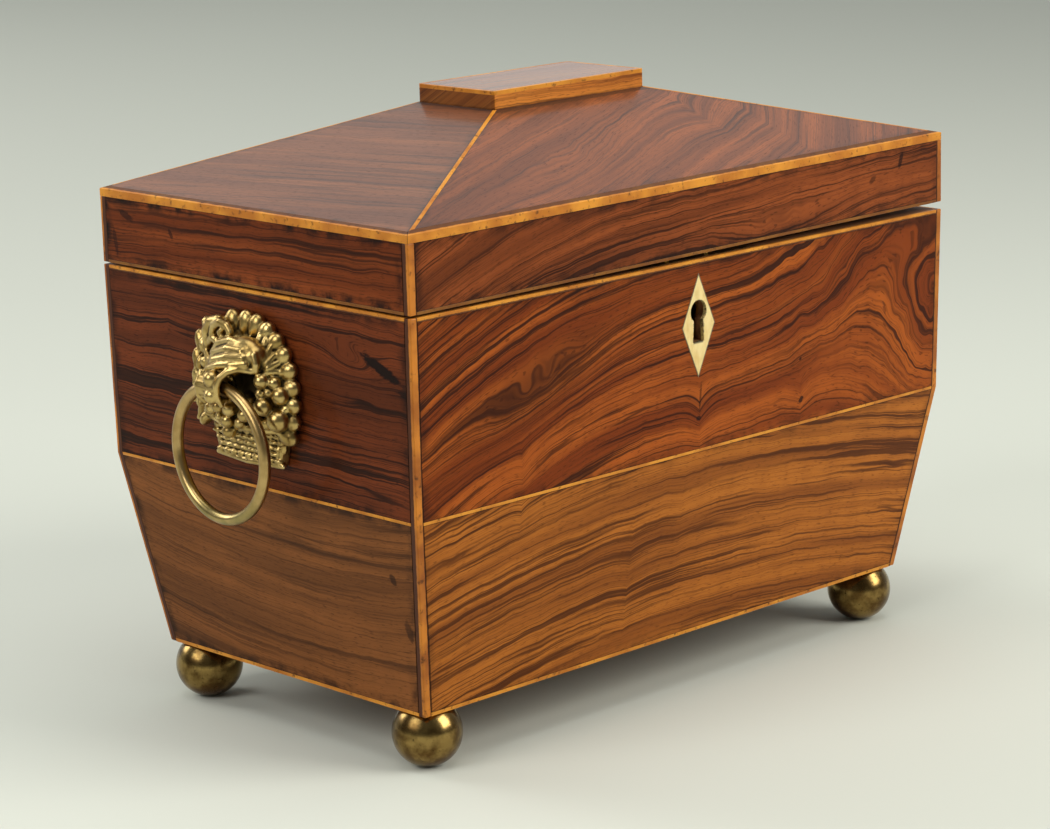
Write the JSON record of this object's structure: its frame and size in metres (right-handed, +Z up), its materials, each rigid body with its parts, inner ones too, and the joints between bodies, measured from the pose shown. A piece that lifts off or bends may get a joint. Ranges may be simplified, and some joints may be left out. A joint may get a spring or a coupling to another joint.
{
  "type": "tea caddy",
  "caption": "Sarcophagus tea caddy with hipped hinged lid, boxwood stringing, diamond escutcheon and lock, ring handles, ball feet and lidded inner compartments.",
  "frame": {"origin": "on the floor, under the middle of the caddy", "axes": "+X towards the right end as seen from the front, +Y towards the back, +Z up; the front with the keyhole faces -Y"},
  "size_m": [0.2316, 0.1197, 0.1604],
  "materials": {
    "rosewood": "French-polished rosewood veneer",
    "boxwood": "polished boxwood stringing",
    "carcass_wood": "plain carcass wood",
    "lining_wood": "plain lining wood",
    "bone": "polished bone",
    "dark_brass": "dark patinated brass",
    "cast_brass": "cast brass, dark in its hollows",
    "ring_brass": "satin brass",
    "plain_brass": "plain brass",
    "tin": "dull tin sheet",
    "velvet": "dark red velvet",
    "steel": "spring steel"
  },
  "bodies": {
    "root": {"back_board": "carcass_wood", "back_left_foot": "dark_brass", "back_right_foot": "dark_brass", "back_veneers": "rosewood", "body_corner_stringing": "boxwood", "body_cross_stringing": "boxwood", "body_screws": "plain_brass", "bolt_spring": "steel", "bottom_board": "carcass_wood", "escutcheon": "bone", "front_board": "carcass_wood", "front_left_foot": "dark_brass", "front_lower_veneer": "rosewood", "front_right_foot": "dark_brass", "front_upper_veneer": "rosewood", "handle_nuts": "plain_brass", "hinge_body_leaves": "plain_brass", "hinge_pins": "plain_brass", "left_end_board": "carcass_wood", "left_handle_plate": "cast_brass", "left_lower_veneer": "rosewood", "left_tin_liner": "tin", "left_upper_veneer": "rosewood", "lining_boards": "lining_wood", "lock_cap": "plain_brass", "lock_case": "plain_brass", "partition": "lining_wood", "right_end_board": "carcass_wood", "right_handle_plate": "cast_brass", "right_lower_veneer": "rosewood", "right_tin_liner": "tin", "right_upper_veneer": "rosewood"},
    "lid": {"hinge_lid_leaves": "plain_brass", "lid_back_band_veneer": "rosewood", "lid_back_rail": "carcass_wood", "lid_back_slope_veneer": "rosewood", "lid_corner_stringing": "boxwood", "lid_cross_stringing": "boxwood", "lid_deck": "carcass_wood", "lid_front_band_veneer": "rosewood", "lid_front_rail": "carcass_wood", "lid_front_slope_veneer": "rosewood", "lid_left_band_veneer": "rosewood", "lid_left_rail": "carcass_wood", "lid_left_slope_veneer": "rosewood", "lid_lining": "velvet", "lid_right_band_veneer": "rosewood", "lid_right_rail": "carcass_wood", "lid_right_slope_veneer": "rosewood", "lid_screws": "plain_brass", "lid_top_stringing": "boxwood", "link_plate": "plain_brass", "top_block": "rosewood"},
    "lock_bolt": {"lock_bolt": "plain_brass"},
    "left_ring": {"left_ring": "ring_brass"},
    "right_ring": {"right_ring": "ring_brass"},
    "left_compartment_lid": {"left_compartment_lid": "rosewood", "left_compartment_knob": "bone"},
    "right_compartment_lid": {"right_compartment_lid": "rosewood", "right_compartment_knob": "bone"}
  },
  "joints": [
    {"name": "lid_hinge", "type": "hinge", "parent": "root", "child": "lid", "pos_m": [0, 0.0592, 0.11797], "axis": [-1, 0, 0], "range_deg": [0, 95]},
    {"name": "left_ring_swing", "type": "hinge", "parent": "root", "child": "left_ring", "pos_m": [-0.11119, 0, 0.095], "axis": [0, 1, 0], "range_deg": [0, 100]},
    {"name": "right_ring_swing", "type": "hinge", "parent": "root", "child": "right_ring", "pos_m": [0.11119, 0, 0.095], "axis": [0, -1, 0], "range_deg": [0, 100]},
    {"name": "lock_bolt_slide", "type": "slide", "parent": "root", "child": "lock_bolt", "axis": [1, 0, 0], "range_m": [0, 0.004]},
    {"name": "left_compartment_lid_lift", "type": "slide", "parent": "root", "child": "left_compartment_lid", "axis": [0, 0, 1], "range_m": [0, 0.01]},
    {"name": "right_compartment_lid_lift", "type": "slide", "parent": "root", "child": "right_compartment_lid", "axis": [0, 0, 1], "range_m": [0, 0.01]}
  ]
}
